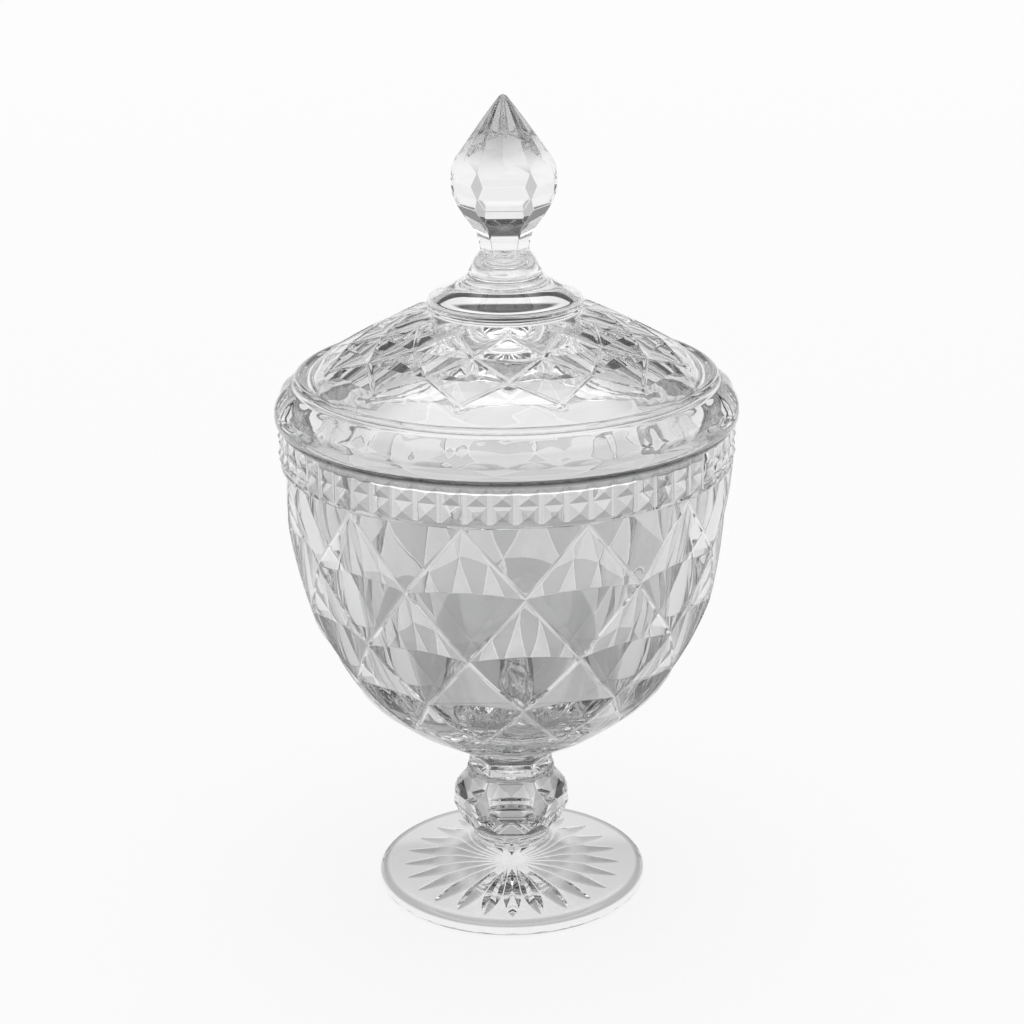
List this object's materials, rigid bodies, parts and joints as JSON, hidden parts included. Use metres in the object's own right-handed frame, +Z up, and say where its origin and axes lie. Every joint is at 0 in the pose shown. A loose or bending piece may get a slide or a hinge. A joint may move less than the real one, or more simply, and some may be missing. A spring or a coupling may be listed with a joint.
{
  "type": "powder jar",
  "caption": "Footed clear glass powder jar with a lift-off domed lid, a six-sided knob and stem, pressed diamonds and a studded rim band.",
  "frame": {"origin": "centre of the flat underside of the foot", "axes": "+Z up along the axis of the jar and the lid, -Y towards the front, +X to the right as seen from the front"},
  "size_m": [0.106, 0.106, 0.1904],
  "materials": {
    "clear_glass": "pressed, fire polished"
  },
  "bodies": {
    "jar": {"foot": "clear_glass", "stem": "clear_glass", "bowl": "clear_glass"},
    "cover": {"lid": "clear_glass", "lid_collar": "clear_glass", "finial": "clear_glass"}
  },
  "joints": [
    {"name": "lid_lift", "type": "slide", "parent": "jar", "child": "cover", "axis": [0, 0, 1], "range_m": [0, 0.08]}
  ]
}
